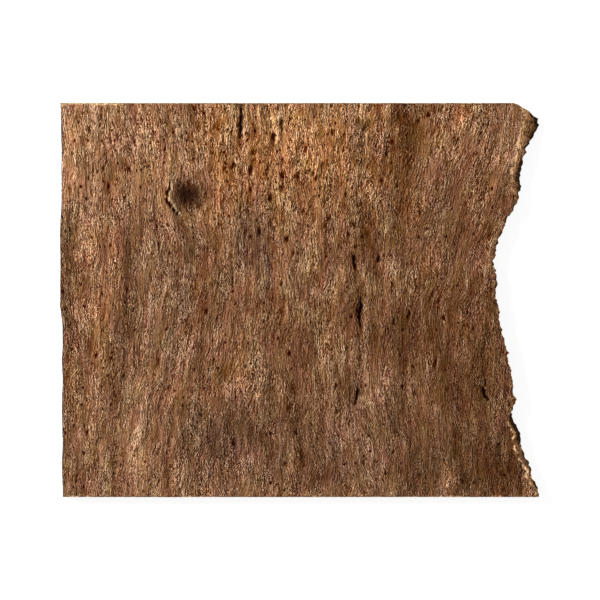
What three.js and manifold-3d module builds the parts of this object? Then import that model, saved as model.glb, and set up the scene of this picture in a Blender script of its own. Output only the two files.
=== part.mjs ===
// A flat piece of cork bark, lying with its grained inner face up.
// Units are millimetres. X runs across the grain, Y along it and +Z up. The origin is on the surface
// that the piece lies on, under the middle of its box. The two ends are sawn square to the grain,
// the left side is cut by hand and the right side is torn, so the pale cork and the dark outer crust
// reach out from under the face there.

import * as THREE from "three";
import Module from "manifold-3d";

const wasm = await Module();
wasm.setup();

// Driving dimensions
const WIDTH = 305; // from the hand-cut side to the furthest tip of the torn side
const LENGTH = 250.5; // between the two saw cuts
const FACE_HEIGHT = 17; // mean height of the inner face
const CRUST_HEIGHT = 6.5; // top of the outer crust, under the pale cork
const CRUST_TIP_HEIGHT = 3; // where the crust reaches out furthest on the torn side
const FISSURE_DEPTH = 6; // depth of the fissures between the plates of the outer crust

const LEFT = -WIDTH / 2;
const RIGHT = WIDTH / 2;
const TOP = LENGTH / 2;
const BOTTOM = -LENGTH / 2;

// The hand-cut side from top to bottom: how far it wanders in from the left of the box, at each y
const LEFT_INSET = [
  [TOP, 0.3], [95, 1], [63, 1], [41, 0], [19, 0.3], [-3, 0], [-16, 1.6], [-29, 1.7],
  [-38, 1.1], [-51, 1.7], [-64, 1.1], [-93, 1.7], [-104, 1.1], [BOTTOM, 1.9],
];

// The torn side from top to bottom: how far it is in from the right of the box, at each y
const TORN_INSET = [
  [TOP, 16.8], [123.7, 12.4], [121, 8], [118, 4.1], [115.8, 1.6], [113.6, 2.5], [111.7, 0.6],
  [108, 1], [106.8, 3.2], [103.5, 3.8], [100, 6.7], [93, 9.2], [85, 11.8], [77.5, 13.3],
  [73.5, 12.1], [64.5, 13.3], [57, 16.8], [51.5, 21.6], [47, 21.9], [39, 26.4], [29, 28.3],
  [24.5, 29.9], [19, 28.3], [11.5, 27], [2.5, 28.6], [-1.5, 26.7], [-14, 25.4], [-29, 21.9],
  [-33, 20.3], [-38.5, 20.6], [-43.5, 18.7], [-55.5, 16.8], [-58, 17.5], [-63.5, 15.3],
  [-71.5, 18.1], [-76, 17.5], [-84, 12.4], [-93.5, 11.4], [-102.5, 8], [-108, 5.1],
  [-112.5, 5.4], [-117, 2.9], [-123.5, 0.6], [BOTTOM, 0],
];

// How far the face is torn back from the torn side's outline, at each y
const FACE_SETBACK = [
  [TOP, 1.5], [119, 4], [115, 7.5], [111, 9], [106.5, 8.6], [101.5, 6.4], [95, 4.5], [86, 4], [73, 4.5],
  [64, 3], [50, 1.5], [40, 2.2], [28, 2.8], [10, 2], [-5, 1.2], [-60, 1], [-72, 1.5], [-78, 4],
  [-88, 4.4], [-102, 4], [-111, 2.6], [BOTTOM, 2],
];

// How far the crust's upper edge is torn back from that outline, at each y
const CRUST_SETBACK = [
  [TOP, 0.6], [119, 1.8], [115, 6], [111, 7.4], [106.5, 7.2], [101.5, 4.6], [95, 3.2], [86, 2.8],
  [73, 2.8], [64, 1.8], [50, 0.6], [-70, 0.6], [-76, 3], [-84, 3.2], [-102, 2.4], [-111, 1.2],
  [BOTTOM, 0.8],
];

// Places where the grain leans: lean is the step across for each millimetre up, at the middle of the place
const LEANS = [
  { x: 110, y: 60, reachX: 55, reachY: 75, lean: 0.22 },
  { x: 112, y: 40, reachX: 25, reachY: 22, lean: 0.15 },
  { x: -68, y: -30, reachX: 50, reachY: 40, lean: 0.2 },
  { x: -106, y: 108, reachX: 34, reachY: 26, lean: -0.12 },
  { x: -62, y: 46, reachX: 14, reachY: 12, lean: -0.3 },
  { x: 57, y: -76, reachX: 44, reachY: 20, lean: -0.2 },
  { x: -108, y: -102, reachX: 40, reachY: 26, lean: 0.12 },
];
const FIBRE_STEPS = 24; // steps in which a fibre is followed through those places

// The knot: a hollow that the grain flows round, with a lip raised beside the crack on its left
const KNOT = { x: -72, y: 68.5, radius: 7.5, depth: 4, flowX: 12, flowY: 18, flow: 0.62 };
const KNOT_LIP = { x: -80, y: 66, reachX: 4, reachY: 9, height: 1.1 };

// Creases along the grain, each a line of points with a half-width and a depth
const CREASES = [
  { points: [[34, 28], [39, 2], [38, -18], [39, -34], [36, -46], [35, -66]], half: 3.4, depth: 2.2 },
  { points: [[-103, 58], [-106, 36], [-102, 10], [-105, -20]], half: 8, depth: 1.5 },
  { points: [[69, 122], [66, 96], [70, 70], [66, 50]], half: 9, depth: 1.4 },
  { points: [[-37, 124], [-38, 98]], half: 2.4, depth: 1.6 },
];

// Cracks through the face, each a line of points with a width and a depth
const CRACKS = [
  { points: [[-82, 75.5], [-84.5, 67], [-83, 61], [-76.5, 53.5]], width: 2, depth: 5 },
  { points: [[118, -51], [116.5, -57], [118.5, -62], [122, -64.5]], width: 1.6, depth: 4 },
  { points: [[-37.6, 124.4], [-37.4, 112], [-38.2, 100.5]], width: 2.2, depth: 4.5 },
  { points: [[-11.2, 115], [-11.6, 106.5]], width: 1.6, depth: 3.5 },
  { points: [[34, 29], [34.6, 20]], width: 2, depth: 4 },
  { points: [[50.5, 28.5], [50.4, 24]], width: 1.5, depth: 3 },
  { points: [[39.5, 2], [38.4, -8], [38, -17]], width: 2, depth: 4 },
  { points: [[36.6, -56], [35.4, -66]], width: 2.2, depth: 4 },
];

// Swells and ridges of the face: the wavelength across and along the grain, the height and the seed
const FACE_WAVES = [
  { across: 90, along: 120, height: 1.6, seed: 11 },
  { across: 27, along: 95, height: 1.2, seed: 12 },
  { across: 10.5, along: 46, height: 1.1, seed: 13 },
  { across: 5.6, along: 26, height: 0.9, seed: 14 },
];

// Fissures of the outer crust, and the low spots that the piece rests on
const FISSURES = { across: 24, along: 85, seed: 21 };
const REST_SPOTS = [[0, 0], [-105, 70], [-100, -80], [85, 60], [95, -75]];
const REST_REACH = 17;

// Grid of the relief: cells across and along the grain, on the face and on the coarser back
const FACE_CELLS = [102, 38];
const BACK_CELLS = [38, 18];
const BLOCK_MARGIN = 3; // how far the relief runs past the outline before it is trimmed
const BLOCK_OVERLAP = 2; // how deep the face's block and the crust's block run into each other
const TRIM_CLEARANCE = 12; // how far the trimming solids stand past the relief

// A fixed pseudo-random direction for each corner of the noise's grid
function cornerAngle(column, row, seed) {
  let h = Math.imul(column, 374761393) ^ Math.imul(row, 668265263) ^ Math.imul(seed, 974634777);
  h = Math.imul(h ^ (h >>> 13), 1274126177);
  h ^= h >>> 16;
  return ((h >>> 0) / 2 ** 32) * 2 * Math.PI;
}

// Smooth noise from about -1 to 1, with one swing for each unit of x and y
function noise(x, y, seed) {
  const column = Math.floor(x);
  const row = Math.floor(y);
  const fx = x - column;
  const fy = y - row;
  const corner = (i, j) => {
    const angle = cornerAngle(column + i, row + j, seed);
    return Math.cos(angle) * (fx - i) + Math.sin(angle) * (fy - j);
  };
  const low = THREE.MathUtils.lerp(corner(0, 0), corner(1, 0), fade(fx));
  const high = THREE.MathUtils.lerp(corner(0, 1), corner(1, 1), fade(fx));
  return 1.5 * THREE.MathUtils.lerp(low, high, fade(fy));
}

function fade(t) {
  return t * t * t * (t * (t * 6 - 15) + 10);
}

function bell(a, b) {
  return Math.exp(-(a * a + b * b));
}

// The value at y in a list of [y, value] that runs from high y to low
function along(list, y) {
  const next = list.findIndex(([at]) => at <= y);
  if (next === 0) return list[0][1];
  if (next < 0) return list.at(-1)[1];
  const [y0, v0] = list[next - 1];
  const [y1, v1] = list[next];
  return THREE.MathUtils.mapLinear(y, y0, y1, v0, v1);
}

// Distance from a point to a line of points
function distanceToLine(x, y, points) {
  const point = new THREE.Vector3(x, y, 0);
  const nearest = new THREE.Vector3();
  const distances = points.slice(1).map((end, i) => {
    const segment = new THREE.Line3(new THREE.Vector3(...points[i], 0), new THREE.Vector3(...end, 0));
    return segment.closestPointToPoint(point, true, nearest).distanceTo(point);
  });
  return Math.min(...distances);
}

function leanAt(x, y) {
  const parts = LEANS.map((place) => {
    return place.lean * bell((x - place.x) / place.reachX, (y - place.y) / place.reachY);
  });
  return parts.reduce((sum, part) => sum + part);
}

// Where a point's fibre crosses the middle of the piece, once its flow round the knot is straightened
function acrossGrain(x, y) {
  const flow = KNOT.flow * bell((x - KNOT.x) / KNOT.flowX, (y - KNOT.y) / KNOT.flowY);
  let across = x - flow * (x - KNOT.x);
  for (let i = 0; i < FIBRE_STEPS; i++)
    across -= (leanAt(across, y * (1 - (i + 0.5) / FIBRE_STEPS)) * y) / FIBRE_STEPS;
  return across;
}

// Height of the inner face
function faceHeight(x, y) {
  const across = acrossGrain(x, y);
  let z = FACE_HEIGHT;
  for (const wave of FACE_WAVES)
    z += wave.height * noise(across / wave.across, y / wave.along, wave.seed);
  for (const { points, half, depth } of CREASES)
    z -= depth * bell(distanceToLine(x, y, points) / half, 0);
  z -= KNOT.depth * bell((x - KNOT.x) / KNOT.radius, (y - KNOT.y) / KNOT.radius);
  z += KNOT_LIP.height * bell((x - KNOT_LIP.x) / KNOT_LIP.reachX, (y - KNOT_LIP.y) / KNOT_LIP.reachY);
  return z;
}

// Height of the back: plates that lie on the surface, with fissures between them
function backHeight(x, y) {
  const fissure = 1 - 2.4 * Math.abs(noise(x / FISSURES.across, y / FISSURES.along, FISSURES.seed));
  let z = FISSURE_DEPTH * fissure;
  for (const [cx, cy] of REST_SPOTS)
    z -= 2 * FISSURE_DEPTH * bell((x - cx) / REST_REACH, (y - cy) / REST_REACH);
  return Math.max(0, z);
}

function solidFrom(vertices, triangles) {
  return new wasm.Manifold(
    new wasm.Mesh({
      numProp: 3,
      vertProperties: new Float32Array(vertices),
      triVerts: new Uint32Array(triangles),
    }),
  );
}

// A closed block between two heights, on a grid that runs a little past the outline
function reliefBlock([columns, rows], topHeight, bottomHeight) {
  const stride = columns + 1;
  const count = stride * (rows + 1);
  const vertices = [];
  for (const height of [topHeight, bottomHeight])
    for (let j = 0; j <= rows; j++)
      for (let i = 0; i <= columns; i++) {
        const x = THREE.MathUtils.lerp(LEFT - BLOCK_MARGIN, RIGHT + BLOCK_MARGIN, i / columns);
        const y = THREE.MathUtils.lerp(BOTTOM - BLOCK_MARGIN, TOP + BLOCK_MARGIN, j / rows);
        vertices.push(x, y, height(x, y));
      }
  const triangles = [];
  for (let j = 0; j < rows; j++)
    for (let i = 0; i < columns; i++) {
      const a = j * stride + i;
      const [b, c, d] = [a + 1, a + stride + 1, a + stride];
      triangles.push(a, b, c, a, c, d);
      triangles.push(count + a, count + c, count + b, count + a, count + d, count + c);
    }
  const rim = [];
  for (let i = 0; i < columns; i++) rim.push(i);
  for (let j = 0; j < rows; j++) rim.push(j * stride + columns);
  for (let i = columns; i > 0; i--) rim.push(rows * stride + i);
  for (let j = rows; j > 0; j--) rim.push(j * stride);
  rim.forEach((a, i) => {
    const b = rim[(i + 1) % rim.length];
    triangles.push(count + a, count + b, b, count + a, b, a);
  });
  return solidFrom(vertices, triangles);
}

// A closed solid through rings of as many points each, anticlockwise and from low to high
function loft(rings) {
  const count = rings[0].points.length;
  const vertices = rings.flatMap(({ points, z }) => points.flatMap(({ x, y }) => [x, y, z]));
  const triangles = [];
  for (let start = 0; start < count * (rings.length - 1); start += count)
    for (let i = 0; i < count; i++) {
      const [a, b] = [start + i, start + ((i + 1) % count)];
      triangles.push(a, b, b + count, a, b + count, a + count);
    }
  const last = count * (rings.length - 1);
  for (const [a, b, c] of THREE.ShapeUtils.triangulateShape(rings[0].points, [])) triangles.push(c, b, a);
  for (const [a, b, c] of THREE.ShapeUtils.triangulateShape(rings.at(-1).points, []))
    triangles.push(last + a, last + b, last + c);
  return solidFrom(vertices, triangles);
}

// The outline with its torn side drawn back by setback(y)
function outlineRing(setback) {
  const left = LEFT_INSET.map(([y, inset]) => new THREE.Vector2(LEFT + inset, y));
  const torn = TORN_INSET.map(([y, inset]) => new THREE.Vector2(RIGHT - inset - setback(y), y));
  return [...left, ...torn.reverse()];
}

// The outline as a solid: upright at the cuts, and sloping out from the face to the crust on the torn side
function outlineSolid() {
  const face = outlineRing((y) => along(FACE_SETBACK, y));
  const crust = outlineRing((y) => along(CRUST_SETBACK, y));
  const tip = outlineRing(() => 0);
  return loft([
    { points: tip, z: -TRIM_CLEARANCE },
    { points: tip, z: CRUST_TIP_HEIGHT },
    { points: crust, z: CRUST_HEIGHT },
    { points: face, z: FACE_HEIGHT },
    { points: face, z: FACE_HEIGHT + TRIM_CLEARANCE },
  ]);
}

// A crack as a tapering wedge that is cut out of the face
function crackSolid({ points, width, depth }) {
  const steps = 4 * points.length;
  const path = new THREE.SplineCurve(points.map(([x, y]) => new THREE.Vector2(x, y)));
  const sliver = (half) => {
    const side = (sign) => (i) => {
      const t = i / steps;
      const across = path.getTangent(t).rotateAround(new THREE.Vector2(), Math.PI / 2);
      return path.getPoint(t).addScaledVector(across, sign * half * Math.sin(Math.PI * t));
    };
    const inner = Array.from({ length: steps - 1 }, (_, i) => i + 1);
    return [path.getPoint(0), ...inner.map(side(-1)), path.getPoint(1), ...inner.reverse().map(side(1))];
  };
  const middle = path.getPoint(0.5);
  const surface = faceHeight(middle.x, middle.y);
  return loft([
    { points: sliver(width / 6), z: surface - depth },
    { points: sliver(width / 2), z: surface },
    { points: sliver(width / 2), z: surface + TRIM_CLEARANCE },
  ]);
}

function barkSolid() {
  const middle = (CRUST_HEIGHT + FACE_HEIGHT) / 2 - BLOCK_OVERLAP;
  const face = reliefBlock(FACE_CELLS, faceHeight, () => middle - BLOCK_OVERLAP / 2);
  const crust = reliefBlock(BACK_CELLS, () => middle + BLOCK_OVERLAP / 2, backHeight);
  let bark = face.add(crust).intersect(outlineSolid());
  for (const crack of CRACKS) bark = bark.subtract(crackSolid(crack));
  return bark;
}

function geometryOf(solid) {
  const { vertProperties, triVerts } = solid.getMesh();
  const geometry = new THREE.BufferGeometry();
  geometry.setAttribute("position", new THREE.BufferAttribute(vertProperties, 3));
  geometry.setIndex(new THREE.BufferAttribute(triVerts, 1));
  geometry.computeVertexNormals();
  return geometry;
}

const barkMaterial = new THREE.MeshStandardMaterial({ color: 0x7e583c, roughness: 0.92, metalness: 0 });
const bark = new THREE.Mesh(geometryOf(barkSolid()), barkMaterial);
bark.name = "bark";

const part = new THREE.Group();
part.add(bark);

export default part;
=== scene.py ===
# A flat piece of cork bark on a pale floor, seen from straight above in soft light.
# Shapes are worked out in millimetres in the part's own frame, and become metres when the mesh is made:
# X runs across the grain, Y along it and Z up out of the grained inner face.
import math

import bpy
import numpy as np
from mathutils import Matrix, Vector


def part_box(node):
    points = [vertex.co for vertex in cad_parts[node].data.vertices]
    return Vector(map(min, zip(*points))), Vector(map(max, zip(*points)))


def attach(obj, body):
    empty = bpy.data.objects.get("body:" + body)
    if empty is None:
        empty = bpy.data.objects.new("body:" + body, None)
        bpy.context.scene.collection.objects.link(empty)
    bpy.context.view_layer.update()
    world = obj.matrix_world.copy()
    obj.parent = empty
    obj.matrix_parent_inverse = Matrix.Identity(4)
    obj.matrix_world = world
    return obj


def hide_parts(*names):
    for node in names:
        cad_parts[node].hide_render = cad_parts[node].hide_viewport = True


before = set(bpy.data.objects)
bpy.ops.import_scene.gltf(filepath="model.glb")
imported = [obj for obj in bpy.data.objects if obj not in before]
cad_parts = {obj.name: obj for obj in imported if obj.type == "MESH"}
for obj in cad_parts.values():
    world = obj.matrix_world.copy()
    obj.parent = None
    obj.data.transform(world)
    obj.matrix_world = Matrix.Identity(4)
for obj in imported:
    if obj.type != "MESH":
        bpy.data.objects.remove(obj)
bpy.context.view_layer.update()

MM = 0.001

# The solid's box
low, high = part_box("bark")
LEFT, RIGHT = low.x / MM, high.x / MM
BOTTOM, TOP = low.y / MM, high.y / MM

# The solid's form, which the finer mesh keeps
FACE_HEIGHT = 17
FISSURE_DEPTH = 6

# Lists of [y, inset] from top to bottom: the hand-cut side from the left of the box, and the torn side
# from its right
LEFT_INSET = [
    [TOP, 0.3], [95, 1], [63, 1], [41, 0], [19, 0.3], [-3, 0], [-16, 1.6], [-29, 1.7],
    [-38, 1.1], [-51, 1.7], [-64, 1.1], [-93, 1.7], [-104, 1.1], [BOTTOM, 1.9],
]
TORN_INSET = [
    [TOP, 16.8], [123.7, 12.4], [121, 8], [118, 4.1], [115.8, 1.6], [113.6, 2.5], [111.7, 0.6],
    [108, 1], [106.8, 3.2], [103.5, 3.8], [100, 6.7], [93, 9.2], [85, 11.8], [77.5, 13.3],
    [73.5, 12.1], [64.5, 13.3], [57, 16.8], [51.5, 21.6], [47, 21.9], [39, 26.4], [29, 28.3],
    [24.5, 29.9], [19, 28.3], [11.5, 27], [2.5, 28.6], [-1.5, 26.7], [-14, 25.4], [-29, 21.9],
    [-33, 20.3], [-38.5, 20.6], [-43.5, 18.7], [-55.5, 16.8], [-58, 17.5], [-63.5, 15.3],
    [-71.5, 18.1], [-76, 17.5], [-84, 12.4], [-93.5, 11.4], [-102.5, 8], [-108, 5.1],
    [-112.5, 5.4], [-117, 2.9], [-123.5, 0.6], [BOTTOM, 0],
]
# How far the face, and the crust's upper edge, are torn back from the torn side's outline
FACE_SETBACK = [
    [TOP, 1.5], [119, 4], [115, 7.5], [111, 9], [106.5, 8.6], [101.5, 6.4], [95, 4.5], [86, 4], [73, 4.5],
    [64, 3], [50, 1.5], [40, 2.2], [28, 2.8], [10, 2], [-5, 1.2], [-60, 1], [-72, 1.5], [-78, 4],
    [-88, 4.4], [-102, 4], [-111, 2.6], [BOTTOM, 2],
]
CRUST_SETBACK = [
    [TOP, 0.6], [119, 1.8], [115, 6], [111, 7.4], [106.5, 7.2], [101.5, 4.6], [95, 3.2], [86, 2.8],
    [73, 2.8], [64, 1.8], [50, 0.6], [-70, 0.6], [-76, 3], [-84, 3.2], [-102, 2.4], [-111, 1.2],
    [BOTTOM, 0.8],
]
# Places where the grain leans: x, y, reach across, reach along, step across for each millimetre up
LEANS = [
    [110, 60, 55, 75, 0.22], [112, 40, 25, 22, 0.15], [-68, -30, 50, 40, 0.2], [-106, 108, 34, 26, -0.12],
    [-62, 46, 14, 12, -0.3], [57, -76, 44, 20, -0.2], [-108, -102, 40, 26, 0.12],
]
# Steps in which a fibre is followed through those places
FIBRE_STEPS = 24
# The knot: a hollow that the grain flows round, with a lip raised beside the crack on its left
KNOT = {"x": -72, "y": 68.5, "radius": 7.5, "depth": 4, "flow_x": 12, "flow_y": 18, "flow": 0.62}
KNOT_LIP = {"x": -80, "y": 66, "reach_x": 4, "reach_y": 9, "height": 1.1}
CREASES = [
    {"points": [[34, 28], [39, 2], [38, -18], [39, -34], [36, -46], [35, -66]], "half": 3.4, "depth": 2.2},
    {"points": [[-103, 58], [-106, 36], [-102, 10], [-105, -20]], "half": 8, "depth": 1.5},
    {"points": [[69, 122], [66, 96], [70, 70], [66, 50]], "half": 9, "depth": 1.4},
    {"points": [[-37, 124], [-38, 98]], "half": 2.4, "depth": 1.6},
]
KNOT_CRACK = {"points": [[-82, 75.5], [-84.5, 67], [-83, 61], [-76.5, 53.5]], "width": 2, "depth": 5}
CRACKS = [
    KNOT_CRACK,
    {"points": [[118, -51], [116.5, -57], [118.5, -62], [122, -64.5]], "width": 1.6, "depth": 4},
    {"points": [[-37.6, 124.4], [-37.4, 112], [-38.2, 100.5]], "width": 2.2, "depth": 4.5},
    {"points": [[-11.2, 115], [-11.6, 106.5]], "width": 1.6, "depth": 3.5},
    {"points": [[34, 29], [34.6, 20]], "width": 2, "depth": 4},
    {"points": [[50.5, 28.5], [50.4, 24]], "width": 1.5, "depth": 3},
    {"points": [[39.5, 2], [38.4, -8], [38, -17]], "width": 2, "depth": 4},
    {"points": [[36.6, -56], [35.4, -66]], "width": 2.2, "depth": 4},
]
# Swells and ridges: wavelength across, wavelength along, height, seed
FACE_WAVES = [[90, 120, 1.6, 11], [27, 95, 1.2, 12], [10.5, 46, 1.1, 13], [5.6, 26, 0.9, 14]]
# Fissures of the outer crust, and the low spots that the piece rests on
FISSURES = {"across": 24, "along": 85, "seed": 21, "steepness": 2.4}
REST_SPOTS = [[0, 0], [-105, 70], [-100, -80], [85, 60], [95, -75]]
REST_REACH = 17

# What the finer mesh adds to that form. Waves are given in the same way as FACE_WAVES.
FIBRE_WAVES = [[4.4, 25, 0.5, 31], [2.9, 15, 0.4, 32], [6.1, 34, 0.5, 38]]
FIBRE_HEIGHT = 0.5
FIBRE_WANDER = [[9, 16, 0.8, 33], [17, 34, 1.7, 37]]
# Places where the fibres lean more than the ridges do, given in the same way as LEANS
FIBRE_LEANS = [
    [-100, -54, 12, 14, 0.35], [-127, 20, 8, 12, 0.3], [-125, -38, 8, 10, 0.3], [-82, 46, 12, 14, -0.2],
    [95, 2, 14, 12, 0.4], [12, -90, 12, 14, -0.35], [62, -84, 12, 10, -0.12], [-6, -112, 12, 10, -0.3],
    [-62, 74, 8, 8, -0.3], [-34, 100, 8, 10, 0.2], [12, 40, 10, 10, -0.18], [-97, 86, 10, 8, -0.18],
    [0, 0, 400, 400, 0.012], [104, 24, 8, 8, 0.2], [-3, 24, 8, 8, 0.2], [-8, -18, 10, 12, 0.2],
    [118, 96, 26, 24, 0.2],
]
# Lumps, and the rough places that have them: x, y, reach across, reach along, share of the lumps
LUMP_WAVES = [[5, 10, 1.7, 39], [2.8, 5.5, 0.7, 40]]
ROUGH_PLACES = [
    [-15, 88, 50, 36, 1], [-112, 98, 38, 30, 0.5], [-140, 0, 18, 110, 0.4], [50, 105, 30, 25, 0.5],
]
# Cracks: how jagged their lines are, how ragged their widths, the half-width of their ends, the share of
# their width that they open to, and how steep their walls are
CRACK_JAGS = [[9, 5.2, 1.1, 36], [5, 2.4, 0.7, 34]]
CRACK_RAGS = [[4, 4.5, 1.1, 35]]
CRACK_RAGS_MIDDLE = 0.8
CRACK_RAGS_LIMITS = (0.25, 1.3)
CRACK_TIP = 0.15
CRACK_OPENING = 0.64
CRACK_WALL = 1.2
LINE_STEPS = 8
# Finer crust of the back, and the heights between which it grows from the plates into the fissures
CRUST_WAVES = [[9, 14, 1.3, 41], [4.5, 6.5, 0.8, 42]]
CRUST_FADE = (-3, 2)
# Waves of the edges: the cut side, and the wear of the face's sawn ends
CUT_WAVE = {"length": 3, "height": 0.25, "seed": 51}
EDGE_WEAR = 0.7
WEAR_WAVE = {"length": 2.4, "height": 0.6, "seed": 54}
# Roughness of the walls: wavelength along the wall, swings from the face to the back, height, seed
TORN_CRUMBS = [[2.9, 5, 1.5, 52], [1.5, 8, 0.8, 53]]
TORN_CHUNKS = [[2.3, 6, 0.9, 58]]
SAWN_ROUGHNESS = [[1.8, 9, 0.18, 55]]

# Pits of the face: how many are drawn, half-widths across, how many times as long they are along, depths
PIT_SEED = 5
PITS = {"count": 460, "half": (0.5, 0.85), "stretch": (1.1, 2), "depth": (0.7, 1.6)}
SLITS = {"count": 90, "half": (0.55, 0.7), "stretch": (2.6, 4.5), "depth": (0.6, 1.3)}
HOLLOWS = {"count": 90, "half": (1.2, 2), "stretch": (1.3, 2.6), "depth": (0.25, 0.55)}
# The largest pits of the rough place: x, y, half-width across, half-length along, depth
LARGE_PITS = [
    [-17.2, 104, 1.2, 2.2, 2.2], [-11.7, 79.3, 1.4, 2.2, 1.7], [-32, 82, 1.1, 2.6, 2],
    [-19.4, 65, 0.8, 1.9, 1.7], [-30, 93.6, 1.1, 1.6, 1.8], [-8.5, 38.7, 0.8, 1.3, 1.4],
    [-2, 79.3, 1.3, 2.4, 1.2], [-26, 43.6, 0.9, 2.4, 1.6],
]
# The part of the mesh that a pit changes: half-lengths and spare rows along, columns across
PIT_LENGTHS, PIT_ROWS, PIT_COLUMNS = 2, 2, 16
# The share of pits that is kept, over all and in places: x, y, reach across, reach along, amount
PIT_SHARE = 0.13
PIT_PLACES = [
    [-15, 86, 45, 38, 0.75], [-105, 100, 45, 32, 0.3], [-138, 0, 20, 110, 0.16], [35, 100, 20, 30, 0.1],
    [-72, 67, 13, 13, -0.9], [90, 90, 30, 40, -0.08], [100, -60, 60, 70, -0.08],
]

# Mesh: cells of the face, how many of them go to one cell of the back, the levels of the side walls, how
# far the back is drawn in at the torn side, and the angle in degrees from which an edge is sharp
COLUMNS, ROWS = 402, 186
BACK_STEP = 3
LEVELS = 12
BACK_INSET = 0.6
SHARP_ANGLE = 65
# Levels of the crust's upper edge and of its furthest tip, from 0 at the face to 1 at the back
CRUST_LEVEL = 0.62
TIP_LEVEL = 0.82

# What the material reads at each point, and its value where a part of the mesh doesn't give another:
# fine light and dark, which holds the painted light and shade of the relief, cracks and pits, broad light
# and dark, how much the fibres stand out, the share of small pits, the shares of bare cork and of crust,
# and how much warmer the colour is
PLAIN_LOOKS = {"tone": 0, "shade": 0, "contrast": 1, "pits": -0.1, "core": 0, "crust": 0, "warmth": 0}

# Places of the face that differ from the rest: x, y, reach across, reach along, then what is added there
# to the shade and to the warmth. The first list's are clear: the dark spot of the knot, a pale broken
# edge, and a pale bare place near the end. The second list's are drawn out of shape. Some of its dark
# places are painted shade along the creases: those at x 68 and 64 near the top, at x -110 by the left
# crease, and at x 34 to 36.5 along the middle crease.
CLEAR_PLACES = [
    [-70.5, 66.5, 8.5, 9, -0.52, -0.15], [-74.5, -56, 4, 5, 0.1, 0], [-68, -62.5, 5, 3.5, 0.12, 0],
    [-57, -60.5, 6, 3, 0.1, 0], [-47, -55.5, 4, 4, 0.12, 0], [-39, -48.5, 3, 5, 0.1, 0],
    [-27, -60.5, 2.2, 2.4, 0.14, 0], [93.5, -114, 3.6, 9, 0.16, 0],
]
PLACES = [
    [68, 102, 8, 28, -0.21, 0], [-9, 92, 75, 40, 0.08, 0.12], [-115, 95, 45, 40, 0.05, -0.03],
    [-146, 92, 10, 42, 0.09, 0], [-146, 118, 12, 10, 0.06, 0], [-130, 0, 14, 55, 0.07, 0.02],
    [-150, -5, 7, 60, -0.14, 0], [-110, 8, 8, 50, -0.14, -0.06], [-82, 8, 20, 45, -0.03, -0.05],
    [-63, 10, 5, 45, -0.12, 0.04], [-31, 38, 10, 16, -0.13, -0.1], [-30, 24, 8, 8, -0.05, 0],
    [-12, 3, 9, 9, -0.06, 0], [-125, -30, 14, 8, -0.06, 0], [40, 46, 9, 14, -0.13, 0],
    [42, 10, 13, 35, -0.07, 0], [57, 1, 8, 25, 0.09, 0], [44, 98, 9, 22, -0.07, 0],
    [63, -20, 14, 16, -0.12, 0], [-5, -18, 16, 10, -0.1, 0], [26, -52, 10, 9, -0.08, 0],
    [112, -57, 20, 18, -0.07, 0], [78, -108, 14, 20, -0.14, 0], [106, -115, 9, 10, -0.13, 0],
    [125, -102, 30, 22, -0.16, 0], [93, -110, 6, 12, 0.1, 0.05], [80, -66, 8, 16, 0.07, 0.03],
    [-73, -57, 10, 8, 0.02, 0.04], [-43, -48, 8, 8, 0.03, 0.04], [-103, -96, 8, 28, 0.17, 0],
    [-90, -108, 9, 9, -0.07, 0], [-50, -87, 28, 19, -0.17, -0.06], [6, -100, 15, 24, -0.12, 0],
    [-15, -75, 25, 16, -0.05, 0], [60, -78, 25, 14, -0.05, 0], [5, -110, 25, 10, -0.04, 0],
    [46, -61, 7, 16, 0.09, 0], [103, 111, 6, 11, 0.18, 0.05], [40, 121, 7, 5, 0.16, 0],
    [-12, 117, 14, 9, 0.08, 0], [4, 102, 9, 16, 0.12, 0], [127, 15, 10, 34, -0.13, 0],
    [112, 15, 9, 18, 0.08, 0], [100, -15, 60, 70, -0.1, 0], [36.5, -5, 4, 16, -0.1, 0],
    [34, 22, 3, 8, -0.1, 0], [35.5, -60, 3.5, 9, -0.12, 0], [-132, 84, 14, 12, -0.05, 0],
    [-140, -15, 12, 14, -0.05, 0], [-63, -54, 12, 10, -0.06, 0], [50, 80, 12, 12, -0.05, 0],
    [30, -112, 12, 12, -0.05, 0], [20, -95, 110, 40, 0, -0.07], [136, 85, 8, 20, 0.16, 0],
    [64, 88, 12, 20, -0.09, 0], [-141, 76, 10, 10, 0.08, 0], [-102, 77, 10, 9, 0.07, 0],
    [-122, 57, 9, 9, -0.07, 0], [-46, -60, 10, 16, -0.07, 0], [124, 18, 8, 10, -0.06, 0],
    [10, -18, 10, 10, -0.06, 0], [48, 116, 10, 8, -0.06, 0], [-84, -55, 9, 9, 0.06, 0],
    [46, -18, 8, 10, 0.07, 0], [30, -55, 9, 9, -0.075, 0], [-66, 57, 8, 5, 0.05, 0],
    [-113, -47, 10, 12, -0.1, 0], [-75, 29, 9, 10, -0.06, 0], [-6, 76, 10, 10, -0.05, 0],
    [136, -112, 8, 10, -0.14, 0], [-62, 27, 18, 13, -0.035, 0], [90, 68, 16, 30, -0.025, -0.06],
    [118, 58, 12, 28, 0.028, 0], [-139, -112, 12, 14, -0.03, 0],
]
SHADE_COLUMN, WARMTH_COLUMN = 4, 5
# How far those places are drawn out of shape: wavelengths across and along, step across, step along
PLACE_WARP = [[14, 40, 5, 11], [5, 18, 2.5, 7]]
WARP_SEEDS = (61, 71)
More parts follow.
